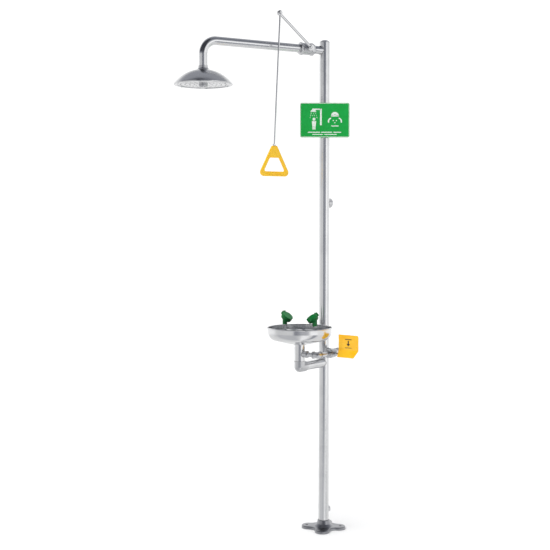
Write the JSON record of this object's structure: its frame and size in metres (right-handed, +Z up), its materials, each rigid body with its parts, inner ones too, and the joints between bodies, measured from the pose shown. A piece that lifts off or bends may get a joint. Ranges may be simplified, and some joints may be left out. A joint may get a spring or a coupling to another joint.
{
  "type": "emergency safety shower",
  "caption": "Floor-mounted combination emergency shower and eyewash: steel column, overhead dome shower with lever and pull handle, bowl with twin eyewash heads and a push flag.",
  "frame": {"origin": "the column's axis at floor level, the centre of the floor flange's bolt circle", "axes": "+Z up along the column, -Y towards the user at the eyewash bowl, +X at the user's right; the shower arm points between -Y and -X"},
  "size_m": [0.6369, 0.7873, 2.402],
  "materials": {
    "steel_tube": "bright polished stainless tube",
    "steel_cast": "machined stainless casting, satin",
    "steel_sheet": "spun stainless sheet, polished",
    "steel_bar": "drawn stainless bar",
    "polished_ball": "mirror-polished ball",
    "sign_green": "satin green with white pictograms",
    "yellow_plastic": "moulded yellow plastic",
    "yellow_enamel": "orange-yellow powder coat",
    "green_plastic": "moulded dark green plastic",
    "grey_plastic": "moulded grey plastic",
    "valve_seat": "white fluoropolymer",
    "seal_rubber": "black rubber"
  },
  "bodies": {
    "root": {"base_flange": "steel_cast", "lower_column": "steel_tube", "upper_column": "steel_tube", "partition_plug": "grey_plastic", "partition_seals": "seal_rubber", "top_cap": "steel_cast", "waste_socket": "steel_cast", "inlet_socket": "steel_cast", "sign_plate": "sign_green", "sign_clamps": "steel_sheet", "sign_fasteners": "steel_bar", "branch_nipple": "steel_tube", "shower_valve_body": "steel_cast", "shower_valve_end_cap": "steel_cast", "shower_valve_seats": "valve_seat", "shower_valve_gland": "steel_bar", "valve_packings": "valve_seat", "shower_arm": "steel_tube", "head_collar": "steel_cast", "head_dome": "steel_sheet", "head_rim_ring": "steel_sheet", "head_face_plate": "steel_sheet", "head_hub": "steel_sheet", "head_screws": "steel_bar", "bowl": "steel_sheet", "bowl_gasket": "seal_rubber", "bowl_strainer": "steel_sheet", "waste_stack": "steel_tube", "waste_elbow": "steel_cast", "drain_pipe": "steel_tube", "stack_fitting": "steel_cast", "supply_riser": "steel_tube", "eyewash_yoke": "steel_tube", "supply_branch": "steel_tube", "back_elbow": "steel_cast", "front_elbow": "steel_cast", "valve_nipples": "steel_tube", "crossing_pipe": "steel_tube", "eyewash_valve_body": "steel_cast", "eyewash_valve_end_cap": "steel_cast", "eyewash_valve_seats": "valve_seat", "eyewash_valve_gland": "steel_bar", "nozzle_body_left": "green_plastic", "nozzle_body_right": "green_plastic", "nozzle_screens": "grey_plastic", "cover_pins": "steel_bar"},
    "shower_lever": {"shower_ball": "polished_ball", "shower_stem": "steel_bar", "shower_lever": "steel_bar", "lever_nut": "steel_bar", "lever_pin": "steel_bar"},
    "pull_rod": {"pull_rod": "steel_tube", "pull_handle": "yellow_plastic", "handle_nut": "steel_bar"},
    "push_flag": {"eyewash_ball": "polished_ball", "eyewash_stem": "steel_bar", "push_flag": "yellow_enamel", "flag_nut": "steel_bar"},
    "dust_cover_left": {"dust_cover_left": "green_plastic"},
    "dust_cover_right": {"dust_cover_right": "green_plastic"}
  },
  "joints": [
    {"name": "shower_valve_turn", "type": "hinge", "parent": "root", "child": "shower_lever", "pos_m": [-0.04006, -0.08998, 2.2505], "axis": [0.9135, -0.4067, 0], "range_deg": [0, 90]},
    {"name": "pull_rod_swing", "type": "hinge", "parent": "shower_lever", "child": "pull_rod", "pos_m": [-0.10768, -0.24184, 2.38998], "axis": [0.9135, -0.4067, 0], "range_deg": [-95, 5]},
    {"name": "eyewash_valve_turn", "type": "hinge", "parent": "root", "child": "push_flag", "pos_m": [0.1, -0.083, 0.853], "axis": [-1, 0, 0], "range_deg": [0, 90]},
    {"name": "dust_cover_left_turn", "type": "hinge", "parent": "root", "child": "dust_cover_left", "pos_m": [-0.09005, -0.192, 1.04388], "axis": [0, -1, 0], "range_deg": [0, 120]},
    {"name": "dust_cover_right_turn", "type": "hinge", "parent": "root", "child": "dust_cover_right", "pos_m": [0.09005, -0.192, 1.04388], "axis": [0, 1, 0], "range_deg": [0, 120]}
  ],
  "couplings": [
    {"joint": "pull_rod_swing", "follows": "shower_valve_turn", "ratio": -1}
  ]
}
